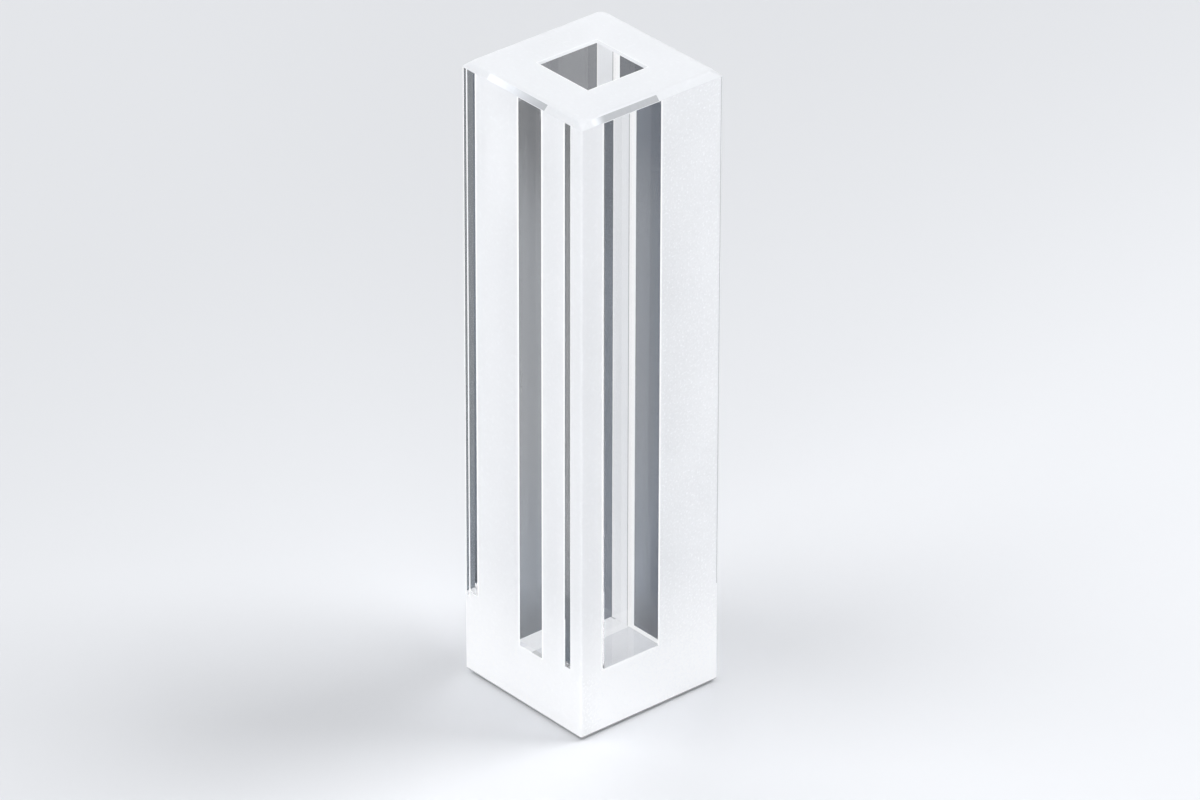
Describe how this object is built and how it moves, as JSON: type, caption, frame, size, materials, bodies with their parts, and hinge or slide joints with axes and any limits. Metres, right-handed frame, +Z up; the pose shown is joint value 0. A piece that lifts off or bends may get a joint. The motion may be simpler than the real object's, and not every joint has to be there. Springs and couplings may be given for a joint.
{
  "type": "cuvette",
  "caption": "Tall square block cuvette in fused quartz with a narrow square well open at the top, frosted outside with clear window strips.",
  "frame": {"origin": "centre of the base, on the surface that the cuvette stands on", "axes": "+Z up along the well, +X and +Y square to two neighbouring side faces"},
  "size_m": [0.0126, 0.0126, 0.048],
  "materials": {
    "quartz": "fused quartz, frosted outside and polished in upright window strips, in the well and under it"
  },
  "bodies": {
    "root": {"quartz_block": "quartz"}
  },
  "joints": []
}
